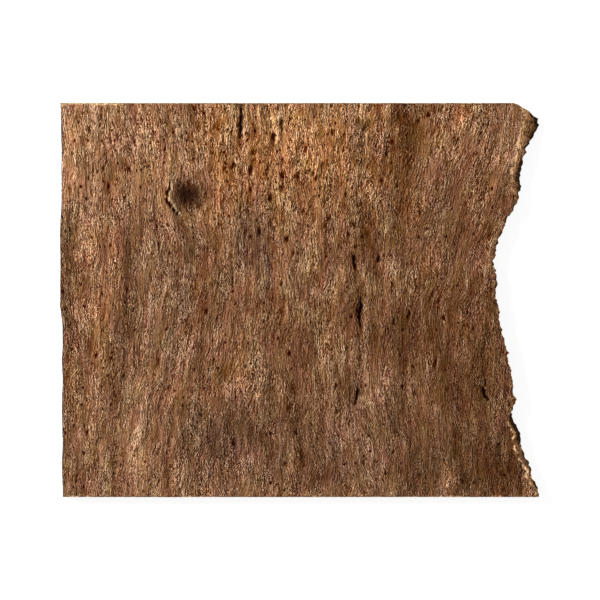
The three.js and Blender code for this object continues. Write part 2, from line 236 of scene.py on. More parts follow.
# Places where the fibres stand out more or less
CONTRAST_PLACES = [
    [-10, 95, 50, 45, 0.34], [-110, 100, 60, 40, 0.14], [110, -85, 70, 60, -0.35],
    [-140, 0, 20, 130, -0.05], [100, 30, 40, 70, -0.2], [10, -80, 50, 40, -0.15], [-71, 66.5, 9, 9, -0.8],
    [90, 100, 25, 30, -0.25], [46, 98, 12, 28, 0.35], [70, 100, 14, 25, -0.35], [-30, -92, 34, 22, -0.3],
    [92, -92, 12, 16, 0.2], [-125, -92, 22, 20, -0.2], [2, -16, 22, 16, -0.2], [40, -45, 14, 22, 0.35],
    [-62, -67, 14, 14, 0.2], [-113, 86, 26, 24, -0.3], [-87, 35, 16, 12, -0.2],
]
# Relief painted into the face's tone as light on the ridges and shade in the hollows: the blur along and
# across that it rises from, the height that counts in full, the lowest hollow as a share of that height,
# and the tone
RELIEF_SHADING = [
    {"along": 2.5, "across": 1.6, "height": 0.5, "lowest": -1.2, "tone": 0.08},
    {"along": 12, "across": 6, "height": 1.2, "lowest": -1, "tone": 0.02},
]
# Painted shade in cracks and pits: the share of it that each millimetre of depth brings, and the tone of
# all
CRACK_SHADE = {"slope": 0.5, "tone": -0.18}
PIT_SHADE = {"slope": 1.3, "tone": -0.42}
# Their painted highlights, on the rim on the side that is lit: a step across from the hole, how often the
# depth at the point itself is taken off, the most that counts, and the tone for each millimetre
KNOT_CRACK_HIGHLIGHT = {"step": 1.3, "own": 2, "limit": 2, "tone": 0.3}
PIT_HIGHLIGHT = {"columns": 2, "own": 1.5, "limit": 1, "tone": 0.15}
# Pale cork along the face's edges. The top edge grows paler to the left, from one x to another: its width
# and share before and after.
TOP_PALE = {"from": -60, "to": -130, "width": (0.8, 1.5), "share": (0.35, 0.8)}
TOP_PALE_WAVE = {"length": 6, "height": 0.4, "seed": 60}
BOTTOM_PALE = {"width": 0.9, "limits": (-0.2, 0.5)}
BOTTOM_PALE_WAVE = {"length": 14, "height": 1, "seed": 57}
TORN_PALE = {"width": 1.9, "share": 1.7}
# How pale the face's edge is along the torn side, and how dark the ledge of crust, from top to bottom
PALE_EDGE = [
    [TOP, 0.4], [118, 0.7], [108, 1.1], [96, 1.1], [85, 0.8], [60, 0.15], [30, 0.2], [22, 0.4], [5, 0.25],
    [-15, 0.2], [-32, 0.1], [-55, 0.1], [-64, 0.3], [-75, 0.2], [-82, 0.5], [-104, 0.55], [BOTTOM, 0.45],
]
DARK_LEDGE = [
    [TOP, 0.1], [117, 0.1], [113, 0.15], [104, 0.25], [99, 0.15], [88, 0.3], [60, 0.4], [20, 0.2],
    [-40, 0.4], [-75, 0.8], [-78, 1], [-88, 1], [-92, 0.2], [BOTTOM, 0.2],
]
# The short bits that the pale edge is broken into, given as the roughness of the walls is, and the least
# that is left between them
PALE_BITS = [[4.2, 2.5, 1, 59]]
PALE_BITS_LIMITS = (-0.25, 0.2)
PALE_BITS_LEAST = 0.25
# How much lighter the torn side is than the face, which makes up for its lying in the shade
TORN_LIGHT = [[TOP, 0.2], [96, 0.24], [82, 0.1], [60, 0.04], [-70, 0.04], [-90, 0.08], [BOTTOM, 0.06]]
TORN_LOOKS = {"contrast": 1.7, "pits": 0.4, "warmth": 0.08}
# Levels between which the torn side's pale cork ends, and the shares of pale cork on crust and cut sides
BARE_FADE = (0.45, 0.1)
CRUST_CORE = 0.1
CUT_CORE = 0.45
# Levels over which the crust begins, with the wave of its edge given as the roughness of the walls is, and
# levels over which its dark outer side begins
CRUST_EDGE = (CRUST_LEVEL - 0.06, CRUST_LEVEL + 0.06)
CRUST_EDGE_WAVES = [[9, 2, 0.07, 56]]
OUTER_EDGE = (TIP_LEVEL - 0.13, TIP_LEVEL + 0.02)
OUTER_TONE = -0.12
# Tone of the back: the plates are lighter than the fissures
BACK_TONE = {"middle": 0.07, "slope": 0.06, "height": 2, "limits": (-4, 2)}

# Material. The layers of its noise slant through the bark: millimetres of depth for each across and along
GRAIN_SLANT = [0.4, 0.1]
# Layers: the length of their swings across, along and through the bark, then how many finer octaves each
# has and how strong those are
LAYERS = {
    "wander": ((4, 9, 4), 1, 0.5),
    "streaks": ((4.5, 30, 6), 2, 0.55),
    "strands": ((2.4, 14, 3), 1, 0.6),
    "hairs": ((1.1, 8, 1.8), 0, 0.5),
    "strokes": ((0.95, 9, 0.9), 0, 0.5),
    "gathers": ((2.6, 7, 3), 1, 0.5),
    "flakes": ((5.5, 18, 6), 3, 0.6),
    "pit_edges": ((0.9, 1.4, 0.9), 1, 0.5),
    "bundles": ((9, 24, 9), 2, 0.5),
    "blotches": ((12, 34, 12), 2, 0.5),
    "tint": ((10, 18, 10), 1, 0.5),
    "colourfulness": ((12, 24, 12), 1, 0.5),
    "crumbs": ((1.5, 2.6, 1.5), 3, 0.65),
    "sheets": ((45, 60, 1.6), 2, 0.5),
    "stains": ((16, 22, 6), 2, 0.5),
    "pores": ((1.5, 2.2, 9), 1, 0.5),
    "furrows": ((7, 22, 7), 3, 0.6),
    "scales": ((4, 8, 4), 4, 0.65),
    "ragged": ((1.2, 1.8, 1.2), 2, 0.6),
}
# Finest layers, painted as the light and shade of slopes lit from one side across the grain: the length of
# their swings, and the step across
SLOPE_LIGHT_LAYERS = {
    "painted_speck_light": ((0.8, 2.8, 0.9), 0.6),
    "painted_small_slope_light": ((0.7, 1.1, 0.7), 0.55),
    "painted_tiny_slope_light": ((0.5, 0.6, 0.5), 0.5),
}
# How strongly each layer swings what it is added to
WEIGHTS = {
    "wander": 1.6, "streaks": 0.06, "strands": 0.15, "hairs": 0.1, "strokes": 0.31, "flakes": 0.13,
    "painted_speck_light": 0.22, "painted_small_slope_light": 0.48, "painted_tiny_slope_light": 0.95, "pit_edges": 0.2, "blotches": 0.26, "tint": 0.04,
    "colourfulness": 0.14, "sheets": 0.22, "stains": 0.22, "furrows": 0.3, "ragged": 1.1,
}
# Ranges that layers are turned from and to: the low and the high of the noise, then what they become
GATHER_RANGE = (0.35, 0.65, 0.55, 1.45)
BUNDLE_RANGE = (0.32, 0.68, 0.4, 2.1)
PORE_RANGE = (0.6, 0.7, -0.06, 0.1)
BROKEN_RANGE = (0.25, 0.75)
# What brings the mean of the grooves to about 0.5
GROOVE_LEVEL = 0.13
# Smaller pits of the colour and bump alone, darkened with painted shade: the cell that each lies in, its
# radius in cells, how wide its wall is in cells, and how much darker the painted shade makes it
PIT_CELL = (3.7, 6, 3.7)
PIT_RADII = (0.08, 0.23)
PIT_WALL = 0.05
SMALL_PIT_SHADE = 0.36
# The tone that the face swings round, how much the painted shade on the fibres' dark sides outweighs the
# painted light on their lit sides, what the shade does to the tone, the brightness and, in dark places,
# the colourfulness, and the hue and colourfulness that the face's tints swing round
TONE_MIDDLE = 0.469
FIBRE_SHADE_BIAS = 0.5
SHADE_TONE = 0.36
SHADE_GAIN = 2.8
SHADE_COLOURFULNESS = 0.3
HUE_MIDDLE = 0.499
COLOURFULNESS_MIDDLE = 1.04
# Colours in sRGB by tone: the face from the bottom of a pit to the palest fibre, the cork and the crust
FACE_COLOURS = [
    (0.08, (46, 6, 0)), (0.20, (77, 28, 0)), (0.29, (94, 49, 16)), (0.357, (104, 65, 34)),
    (0.445, (122, 83, 54)), (0.545, (144, 104, 75)), (0.65, (167, 127, 95)), (0.78, (198, 155, 120)),
    (0.95, (230, 194, 158)),
]
CORE_COLOURS = [
    (0.36, (136, 86, 50)), (0.45, (202, 148, 98)), (0.54, (234, 184, 132)), (0.64, (250, 208, 160)),
]
CRUST_COLOURS = [
    (0.2, (30, 18, 11)), (0.42, (62, 43, 30)), (0.6, (98, 74, 54)), (0.8, (134, 110, 88)),
]
# Bump: its height in mm, the shares of its layers beside the strands, and that of the crust's scales
BUMP_HEIGHT = 1.4
HAIR_BUMP, SPECK_BUMP, PIT_BUMP, SCALE_BUMP = 0.5, 0.4, 0.9, 3.0
# How rough the surface is, and how much smoother on the strands
ROUGHNESS, STRAND_ROUGHNESS = 0.98, -0.2
SPECULAR = 0.06

# Stage, in metres, with the camera's sensor in millimetres
FLOOR_HALF = 6.0
FLOOR_COLOUR = (0.28, 0.28, 0.28, 1)
FLOOR_GLOW = 0.88
FLOOR_ROUGHNESS = 0.9
WHITE = (1, 1, 1, 1)
CAMERA_DISTANCE = 3.0
CAMERA_REACH = 100
SENSOR = 36.0
FRAME_WIDTH = 0.381
WORLD_STRENGTH = 0.37
KEY_LIGHT = {"place": (-1.5, 0.7, 1.8), "size": 0.8, "energy": 72}

# Numbers of the noise's hash, and the scale that brings its swings to about -1 to 1
HASH = {"column": 374761393, "row": 668265263, "seed": 974634777, "mix": 1274126177, "shifts": (13, 16)}
WORD = 2**32
NOISE_SCALE = 1.5


def lerp(a, b, t):
    return a + (b - a) * t


def fade(t):
    return t * t * t * (t * (t * 6 - 15) + 10)


def smoothstep(start, end, value):
    t = np.clip((value - start) / (end - start), 0, 1)
    return t * t * (3 - 2 * t)


def bell(a, b=0):
    return np.exp(-(a * a + b * b))


def corner_angles(column, row, seed):
    """A fixed pseudo-random direction for each corner of the noise's grid."""
    column = column.astype(np.int64).astype(np.uint32)
    row = row.astype(np.int64).astype(np.uint32)
    first, second = (np.uint32(shift) for shift in HASH["shifts"])
    start = np.uint32(seed * HASH["seed"] % WORD)
    mix = column * np.uint32(HASH["column"]) ^ row * np.uint32(HASH["row"]) ^ start
    mix = (mix ^ (mix >> first)) * np.uint32(HASH["mix"])
    mix = mix ^ (mix >> second)
    return mix / WORD * 2 * np.pi


def noise(x, y, seed):
    """Smooth noise from about -1 to 1, with one swing for each unit of x and y."""
    x, y = np.broadcast_arrays(np.asarray(x, float), np.asarray(y, float))
    column, row = np.floor(x), np.floor(y)
    fx, fy = x - column, y - row

    def corner(i, j):
        angle = corner_angles(column + i, row + j, seed)
        return np.cos(angle) * (fx - i) + np.sin(angle) * (fy - j)

    lower = lerp(corner(0, 0), corner(1, 0), fade(fx))
    upper = lerp(corner(0, 1), corner(1, 1), fade(fx))
    return NOISE_SCALE * lerp(lower, upper, fade(fy))


def layered(across, y, waves):
    """The sum of waves of noise, each given by its wavelengths across and along, height and seed."""
    return sum(height * noise(across / wide, y / long, seed) for wide, long, height, seed in waves)


def line_wave(place, wave):
    """A wave of noise along a line."""
    return wave["height"] * noise(place / wave["length"], 0.5, wave["seed"])


def wall_wave(place, level, waves):
    """The sum of waves of noise along a wall and down it."""
    return sum(height * noise(place / long, level * swings, seed) for long, swings, height, seed in waves)


def along(rows, y):
    """The value at y in a list of [y, value] that runs from high y to low."""
    ys, values = np.array(rows[::-1], float).T
    return np.interp(y, ys, values)


def nearest_on_line(x, y, points):
    """The distance to a line of points, and how far along it the nearest point is, from 0 to 1."""
    points = np.array(points, float)
    best = np.full(np.shape(x), np.inf)
    place = np.zeros(np.shape(x))
    count = len(points) - 1
    for i in range(count):
        start, step = points[i], points[i + 1] - points[i]
        t = np.clip(((x - start[0]) * step[0] + (y - start[1]) * step[1]) / (step @ step), 0, 1)
        distance = np.hypot(x - start[0] - t * step[0], y - start[1] - t * step[1])
        nearer = distance < best
        best = np.where(nearer, distance, best)
        place = np.where(nearer, (i + t) / count, place)
    return best, place


def smooth_line(points):
    """A smooth curve through the points, as a finer line of points."""
    points = np.array(points, float)
    padded = np.vstack([2 * points[0] - points[1], points, 2 * points[-1] - points[-2]])
    line = []
    for p0, p1, p2, p3 in zip(padded, padded[1:], padded[2:], padded[3:]):
        slope, curve = p2 - p0, 2 * p0 - 5 * p1 + 4 * p2 - p3
        twist = 3 * p1 - p0 - 3 * p2 + p3
        for t in np.arange(LINE_STEPS) / LINE_STEPS:
            line.append(0.5 * (2 * p1 + slope * t + curve * t**2 + twist * t**3))
    line.append(points[-1])
    return line


def patches(x, y, places):
    """The sum of soft places, each given by x, y, reach across, reach along and amount."""
    return sum((amount * bell((x - cx) / rx, (y - cy) / ry) for cx, cy, rx, ry, amount in places), 0 * x)


def place_sum(x, y, places, column):
    """What a column of a list of places adds up to."""
    return patches(x, y, [[*place[:4], place[column]] for place in places])


def warped(x, y):
    """Points moved by noise, so that soft places get drawn-out, ragged edges."""
    for i, (wide, long, step_x, step_y) in enumerate(PLACE_WARP):
        moves = [noise(x / wide, y / long, seed + i) for seed in WARP_SEEDS]
        x, y = x + step_x * moves[0], y + step_y * moves[1]
    return x, y


def blurred(field, sigma_rows, sigma_columns):
    """Values on the face's grid, smoothed along and across."""
    for axis, sigma in ((0, sigma_rows), (1, sigma_columns)):
        reach = int(3 * sigma) + 1
        kernel = bell(np.arange(-reach, reach + 1) / sigma / math.sqrt(2))
        kernel /= kernel.sum()
        padding = [(reach, reach) if i == axis else (0, 0) for i in (0, 1)]
        padded = np.pad(field, padding, mode="edge")
        field = np.apply_along_axis(np.convolve, axis, padded, kernel, "valid")
    return field


def across_grain(x, y):
    """Where a point's fibre crosses the middle of the piece, with its flow round the knot undone."""
    flow = KNOT["flow"] * bell((x - KNOT["x"]) / KNOT["flow_x"], (y - KNOT["y"]) / KNOT["flow_y"])
    across = x - flow * (x - KNOT["x"])
    for i in range(FIBRE_STEPS):
        across = across - patches(across, y * (1 - (i + 0.5) / FIBRE_STEPS), LEANS) * y / FIBRE_STEPS
    return across


def grain_coordinate(x, y):
    """Where a point lies across the fibres, which wander and lean more than the ridges do."""
    across = across_grain(x, y)
    for cx, cy, reach_x, reach_y, lean in FIBRE_LEANS:
        across = across - lean * (y - cy) * bell((x - cx) / reach_x, (y - cy) / reach_y)
    return across + layered(across, y, FIBRE_WANDER)


def fibre_relief(across, y):
    """Rounded ridges along the grain with sharp grooves between them."""
    return FIBRE_HEIGHT * (2 * np.sqrt(np.abs(layered(across, y, FIBRE_WAVES))) - 1)


def face_form(x, y):
    """The solid's inner face."""
    z = FACE_HEIGHT + layered(across_grain(x, y), y, FACE_WAVES)
    for crease in CREASES:
        z = z - crease["depth"] * bell(nearest_on_line(x, y, crease["points"])[0] / crease["half"])
    z = z - KNOT["depth"] * bell((x - KNOT["x"]) / KNOT["radius"], (y - KNOT["y"]) / KNOT["radius"])
    lip_x, lip_y = (x - KNOT_LIP["x"]) / KNOT_LIP["reach_x"], (y - KNOT_LIP["y"]) / KNOT_LIP["reach_y"]
    return z + KNOT_LIP["height"] * bell(lip_x, lip_y)


def back_form(x, y):
    """The solid's back with finer crust: plates that lie on the surface, with fissures between them."""
    fissure = np.abs(noise(x / FISSURES["across"], y / FISSURES["along"], FISSURES["seed"]))
    z = FISSURE_DEPTH * (1 - FISSURES["steepness"] * fissure)
    z = z + layered(x, y, CRUST_WAVES) * smoothstep(*CRUST_FADE, z)
    for cx, cy in REST_SPOTS:
        z = z - 2 * FISSURE_DEPTH * bell((x - cx) / REST_REACH, (y - cy) / REST_REACH)
    return np.maximum(0, z)


def left_side(y):
    """The hand-cut side's x."""
    return LEFT + along(LEFT_INSET, y) + np.abs(line_wave(y, CUT_WAVE))


def torn_side(y, level):
    """The torn side's x at a level of the wall, from 0 at the face to 1 at the back."""
    face, crust = along(FACE_SETBACK, y), along(CRUST_SETBACK, y)
    setback = np.where(
        level < CRUST_LEVEL,
        lerp(face, crust, level / CRUST_LEVEL),
        lerp(crust, 0, np.clip((level - CRUST_LEVEL) / (TIP_LEVEL - CRUST_LEVEL), 0, 1)),
    )
    return np.minimum(RIGHT, RIGHT - along(TORN_INSET, y) - setback - wall_wave(y, level, TORN_CRUMBS))


def grid_parameters(columns, rows):
    u = np.linspace(0, 1, columns + 1)[None, :]
    v = np.linspace(0, 1, rows + 1)[:, None]
    return np.broadcast_arrays(u, v)


def face_points():
    u, v = grid_parameters(COLUMNS, ROWS)
    y = lerp(BOTTOM, TOP, v)
    x = lerp(left_side(y), torn_side(y, 0.0), u)
    wear = EDGE_WEAR * (1 + line_wave(x, WEAR_WAVE))
    y = y + np.where(v == 0, wear, 0) - np.where(v == 1, wear, 0)
    return x, y


def draw_pits(kind, random):
    """Random pits: x, y, half-width across, half-length along and depth of each."""
    for _ in range(kind["count"]):
        x, y = random.uniform(LEFT, RIGHT), random.uniform(BOTTOM, TOP)
        half = random.uniform(*kind["half"])
        length, depth = half * random.uniform(*kind["stretch"]), random.uniform(*kind["depth"])
        if random.uniform() < PIT_SHARE + patches(x, y, PIT_PLACES):
            yield x, y, half, length, depth


def pit_mask(x, y, across):
    """How deep the pits are at each point of the face."""
    random = np.random.default_rng(PIT_SEED)
    depth = np.zeros(x.shape)
    row_step = (TOP - BOTTOM) / ROWS
    drawn = [pit for kind in (PITS, SLITS, HOLLOWS) for pit in draw_pits(kind, random)]
    for px, py, half, length, deep in [*LARGE_PITS, *drawn]:
        row = int((py - BOTTOM) / row_step)
        reach = int(PIT_LENGTHS * length / row_step) + PIT_ROWS
        rows = slice(max(0, row - reach), row + reach + 1)
        column = min(np.searchsorted(x[row], px), COLUMNS)
        columns = slice(max(0, column - PIT_COLUMNS), column + PIT_COLUMNS + 1)
        centre = across[row, column]
        hole = deep * bell((across[rows, columns] - centre) / half, (y[rows, columns] - py) / length)
        depth[rows, columns] = np.maximum(depth[rows, columns], hole)
    return depth


def crack_mask(x, y, cracks):
    """How deep the cracks are at each point of the face."""
    depth = np.zeros(x.shape)
    jagged = layered(x, y, CRACK_JAGS)
    ragged = np.clip(CRACK_RAGS_MIDDLE + layered(x, y, CRACK_RAGS), *CRACK_RAGS_LIMITS)
    for crack in cracks:
        distance, place = nearest_on_line(x + jagged, y, smooth_line(crack["points"]))
        half = CRACK_TIP + CRACK_OPENING * crack["width"] * np.sin(np.pi * place) * ragged
        depth = np.maximum(depth, crack["depth"] * np.clip(CRACK_WALL - distance / half, 0, 1))
    return depth


def relief_light_and_shade(z):
    """Painted light and shade of the relief: ridges are lighter than what lies round them, and hollows are
    darker.
    """
    row_mm, column_mm = (TOP - BOTTOM) / ROWS, (RIGHT - LEFT) / COLUMNS
    tone = 0 * z
    for relief in RELIEF_SHADING:
        rise = z - blurred(z, relief["along"] / row_mm, relief["across"] / column_mm)
        tone = tone + relief["tone"] * np.clip(rise / relief["height"], relief["lowest"], 1)
    return tone


def hole_shade_and_highlights(x, y, pits, cracks):
    """Cracks and pits are darkened with painted shade. The pits and the knot's crack have a painted
    highlight on the rim on the side that is lit.
    """
    tone = CRACK_SHADE["tone"] * np.clip(CRACK_SHADE["slope"] * cracks, 0, 1)
    tone = tone + PIT_SHADE["tone"] * np.clip(PIT_SHADE["slope"] * pits, 0, 1)
    crack_highlight_side = crack_mask(x - KNOT_CRACK_HIGHLIGHT["step"], y, [KNOT_CRACK])
    pit_highlight_side = np.roll(pits, PIT_HIGHLIGHT["columns"], axis=1)
    for rim, beside, own in ((KNOT_CRACK_HIGHLIGHT, crack_highlight_side, cracks), (PIT_HIGHLIGHT, pit_highlight_side, pits)):
        tone = tone + rim["tone"] * np.clip(beside - rim["own"] * own, 0, rim["limit"])
    return tone


def pale_edge(y, level):
    """How much of the pale cork shows along the torn side: it is broken into short bits."""
    bits = smoothstep(*PALE_BITS_LIMITS, wall_wave(y, level, PALE_BITS))
    return along(PALE_EDGE, y) * lerp(PALE_BITS_LEAST, 1, bits)


def pale_edges(x, y):
    """How much of the pale cork shows along the top, the bottom and the torn side of the face."""
    to_left = smoothstep(TOP_PALE["from"], TOP_PALE["to"], x)
    top = bell((TOP - y) / lerp(*TOP_PALE["width"], to_left))
    top = top * (lerp(*TOP_PALE["share"], to_left) + line_wave(x, TOP_PALE_WAVE))
    bottom = bell((y - BOTTOM) / BOTTOM_PALE["width"])
    bottom = bottom * smoothstep(*BOTTOM_PALE["limits"], line_wave(x, BOTTOM_PALE_WAVE))
    torn = bell((torn_side(y, 0.0) - x) / TORN_PALE["width"]) * TORN_PALE["share"] * pale_edge(y, 0.0)
    return np.clip(top + bottom + torn, 0, 1)


def perimeter(columns, rows):
    """Indices round the edge of a grid, anticlockwise from its lower left corner."""
    stride = columns + 1
    return np.concatenate([
        np.arange(columns),
        np.arange(rows) * stride + columns,
        rows * stride + np.arange(columns, 0, -1),
        np.arange(rows, 0, -1) * stride,
    ])


def fields(x, y, z, across, depth, **looks):
    """Points of the mesh, where they lie in the grain, and what the material reads there."""
    values = {"x": x, "y": y, "z": z, "across": across, "depth": depth, **PLAIN_LOOKS, **looks}
    return {key: np.broadcast_to(value, x.shape).ravel() for key, value in values.items()}


def face_fields():
    x, y = face_points()
    across = grain_coordinate(x, y)
    pits, cracks = pit_mask(x, y, across), crack_mask(x, y, CRACKS)
    lumps = layered(across, y, LUMP_WAVES) * patches(x, y, ROUGH_PLACES)
    z = face_form(x, y) + fibre_relief(across, y) + lumps - np.maximum(pits, cracks)
    warped_points = warped(x, y)
    shade, warmth = (
        place_sum(x, y, CLEAR_PLACES, column) + place_sum(*warped_points, PLACES, column)
        for column in (SHADE_COLUMN, WARMTH_COLUMN)
    )
    return fields(
        x, y, z, across, 0,
        tone=relief_light_and_shade(z) + hole_shade_and_highlights(x, y, pits, cracks), shade=shade, warmth=warmth,
        contrast=1 + patches(x, y, CONTRAST_PLACES), pits=PIT_SHARE + patches(x, y, PIT_PLACES),
        core=pale_edges(x, y),
    )


def wall_fields(face, level):
    rim = perimeter(COLUMNS, ROWS)
    u, v = (parameter.ravel()[rim] for parameter in grid_parameters(COLUMNS, ROWS))
    rim_z = face["z"][rim]
    torn = (u == 1) & (v > 0) & (v < 1)
    y = lerp(BOTTOM, TOP, v)
    x = lerp(left_side(y), torn_side(y, level), u)
    rough = np.abs(wall_wave(x, level, SAWN_ROUGHNESS))
    y = y + np.where(v == 0, rough, 0) - np.where(v == 1, rough, 0)
    chunks = wall_wave(x - y, level, TORN_CHUNKS) * np.sin(np.pi * level)
    z = lerp(rim_z, back_form(x, y), level) + np.where(torn, chunks, 0)

    crust = smoothstep(*CRUST_EDGE, level + wall_wave(x + y, level, CRUST_EDGE_WAVES))
    outer = smoothstep(*OUTER_EDGE, level)
    ledge = lerp(along(DARK_LEDGE, y), 1, outer)
    bare = pale_edge(y, level) * smoothstep(*BARE_FADE, level)
    looks = {key: np.where(torn, value, PLAIN_LOOKS[key]) for key, value in TORN_LOOKS.items()}
    return fields(
        x, y, z, grain_coordinate(x, y), rim_z - z,
        tone=np.where(torn, OUTER_TONE * outer, 0),
        shade=np.where(torn, along(TORN_LIGHT, y) * (1 - ledge * crust), 0),
        core=np.where(torn, lerp(bare, CRUST_CORE, crust), CUT_CORE),
        crust=crust * np.where(torn, ledge, 1), **looks,
    )


def back_fields():
    u, v = grid_parameters(COLUMNS // BACK_STEP, ROWS // BACK_STEP)
    y = lerp(BOTTOM, TOP, v)
    x = lerp(left_side(y), torn_side(y, 1.0) - BACK_INSET, u)
    z = back_form(x, y)
    plates = np.clip(BACK_TONE["height"] - z, *BACK_TONE["limits"])
    tone = BACK_TONE["middle"] + BACK_TONE["slope"] * plates
    return fields(x, y, z, x, FACE_HEIGHT - z, tone=tone, crust=1)


def grid_faces(columns, rows, first, upward):
    stride = columns + 1
    a = (np.arange(rows)[:, None] * stride + np.arange(columns)[None, :]).ravel() + first
    corners = [a, a + 1, a + stride + 1, a + stride]
    return np.stack(corners if upward else corners[::-1], axis=1).tolist()


def bark_faces(wall_count):
    """The face's grid, a ring of quads down to each level of the walls, and the back's coarser grid."""
    faces = grid_faces(COLUMNS, ROWS, 0, upward=True)
    ring = perimeter(COLUMNS, ROWS)
    first = (COLUMNS + 1) * (ROWS + 1)
    for _ in range(wall_count):
        lower = first + np.arange(len(ring))
        quads = [lower, np.roll(lower, -1), np.roll(ring, -1), ring]
        faces += np.stack(quads, axis=1).tolist()
        ring = lower
        first += len(ring)
    back_columns, back_rows = COLUMNS // BACK_STEP, ROWS // BACK_STEP
    back_rim = perimeter(back_columns, back_rows) + first
    for i, corner in enumerate(back_rim):
        upper = [ring[(i * BACK_STEP + k) % len(ring)] for k in range(BACK_STEP, -1, -1)]
        faces.append([int(n) for n in (corner, back_rim[(i + 1) % len(back_rim)], *upper)])
    return faces + grid_faces(back_columns, back_rows, first, upward=False)


def bark_mesh():
    face = face_fields()
    walls = [wall_fields(face, k / LEVELS) for k in range(1, LEVELS)]
    parts = [face, *walls, back_fields()]
    joined = {key: np.concatenate([part[key] for part in parts]) for key in face}

    mesh = bpy.data.meshes.new("bark_relief")
    points = np.stack([joined["x"], joined["y"], joined["z"]], axis=1) * MM
    mesh.from_pydata(points.tolist(), [], bark_faces(len(walls)))
    for key in PLAIN_LOOKS:
        values = joined[key].astype(np.float32)
        mesh.attributes.new(key, "FLOAT", "POINT").data.foreach_set("value", values)
    through = joined["depth"] + GRAIN_SLANT[0] * joined["across"] + GRAIN_SLANT[1] * joined["y"]
    grain = np.stack([joined["across"], joined["y"], through], axis=1).astype(np.float32)
    mesh.attributes.new("grain", "FLOAT_VECTOR", "POINT").data.foreach_set("vector", grain.ravel())
    mesh.polygons.foreach_set("use_smooth", np.ones(len(mesh.polygons), bool))
    mesh.set_sharp_from_angle(angle=math.radians(SHARP_ANGLE))
    mesh.update()
    return mesh


def linear(*srgb):
    """A colour from 0 to 255 in sRGB as linear red, green, blue and alpha."""
    parts = [c / 255 for c in srgb]
    return (*[p / 12.92 if p < 0.04045 else ((p + 0.055) / 1.055) ** 2.4 for p in parts], 1)


def add(tree, kind, inputs, **settings):
    """A node with its settings, and its inputs set to values or linked to sockets."""
    made = tree.nodes.new(kind)
    for key, value in settings.items():
        setattr(made, key, value)
    for key, value in inputs.items():
        if isinstance(value, bpy.types.NodeSocket):
            tree.links.new(value, made.inputs[key])
        else:
            made.inputs[key].default_value = value
    return made


def calculate(tree, operation, a, b=0.0):
    return add(tree, "ShaderNodeMath", {0: a, 1: b}, operation=operation).outputs[0]


def total(tree, first, *rest):
    for part in rest:
        first = calculate(tree, "ADD", first, part)
    return first


def move(tree, operation, vector, by):
    return add(tree, "ShaderNodeVectorMath", {0: vector, 1: by}, operation=operation).outputs[0]


def mapped(tree, value, low_in, high_in, low_out=0.0, high_out=1.0, kind="LINEAR"):
    """A value turned from one range to another, and held inside it."""
    inputs = {0: value, 1: low_in, 2: high_in, 3: low_out, 4: high_out}
    return add(tree, "ShaderNodeMapRange", inputs, interpolation_type=kind).outputs[0]


def attribute(tree, name, output="Fac"):
    return add(tree, "ShaderNodeAttribute", {}, attribute_name=name).outputs[output]


def grain_noise(tree, grain, size, octaves=0, strength=0.5):
    """Noise from 0 to 1 with its swings as long as size, across, along and through the bark."""
    placed = move(tree, "MULTIPLY", grain, tuple(1 / s for s in size))
    inputs = {"Vector": placed, "Scale": 1.0, "Detail": octaves, "Roughness": strength}
    return add(tree, "ShaderNodeTexNoise", inputs, noise_dimensions="3D").outputs["Fac"]


def layer(tree, grain, name):
    return grain_noise(tree, grain, *LAYERS[name])


def painted_slope_light(tree, grain, size, step):
    """How much the noise falls over a step across the grain, swung round 0.5: painted light and shade of
    slopes lit from one side.
    """
    beside = move(tree, "ADD", grain, (step, 0, 0))
    fall = calculate(tree, "SUBTRACT", grain_noise(tree, beside, size), grain_noise(tree, grain, size))
    return calculate(tree, "ADD", fall, 0.5)


def weighed(tree, fac, name):
    """Noise from 0 to 1, swung round zero and scaled by its layer's weight."""
    return calculate(tree, "MULTIPLY", calculate(tree, "SUBTRACT", fac, 0.5), WEIGHTS[name])


def grooves(tree, fac):
    """Noise from 0 to 1 as rounded ridges round 0.5 with sharp grooves between them."""
    swing = calculate(tree, "ABSOLUTE", calculate(tree, "SUBTRACT", fac, 0.5))
    ridges = calculate(tree, "SQRT", calculate(tree, "MULTIPLY", swing, 2.0))
    return calculate(tree, "ADD", ridges, GROOVE_LEVEL)


def small_pits(tree, grain, share):
    """Small ragged pits from 0 to 1, one in each cell that is among the share that is kept."""
    placed = move(tree, "DIVIDE", grain, PIT_CELL)
    cells = add(tree, "ShaderNodeTexVoronoi", {"Vector": placed, "Scale": 1.0}, voronoi_dimensions="2D")
    draws = add(tree, "ShaderNodeSeparateColor", {"Color": cells.outputs["Color"]}).outputs
    kept = calculate(tree, "LESS_THAN", draws[0], share)
    radius = mapped(tree, draws[1], 0.0, 1.0, *PIT_RADII)
    radius = calculate(tree, "ADD", radius, weighed(tree, layer(tree, grain, "pit_edges"), "pit_edges"))
    inside = calculate(tree, "SUBTRACT", radius, cells.outputs["Distance"])
    return calculate(tree, "MULTIPLY", kept, mapped(tree, inside, 0.0, PIT_WALL, kind="SMOOTHSTEP"))


def broken(tree, share, ragged):
    """A share from 0 to 1 with a crisp, ragged edge in place of a soft one."""
    moved = calculate(tree, "ADD", share, weighed(tree, ragged, "ragged"))
    return mapped(tree, moved, *BROKEN_RANGE, kind="SMOOTHSTEP")


def ramp(tree, fac, stops):
    """Colours by tone."""
    made = add(tree, "ShaderNodeValToRGB", {"Fac": fac})
    elements = made.color_ramp.elements
    elements[0].position, elements[1].position = stops[0][0], stops[-1][0]
    elements[0].color, elements[1].color = linear(*stops[0][1]), linear(*stops[-1][1])
    for position, colour in stops[1:-1]:
        elements.new(position).color = linear(*colour)
    return made.outputs["Color"]


def blend_colours(tree, fac, a, b):
    return add(tree, "ShaderNodeMix", {0: fac, 6: a, 7: b}, data_type="RGBA").outputs[2]


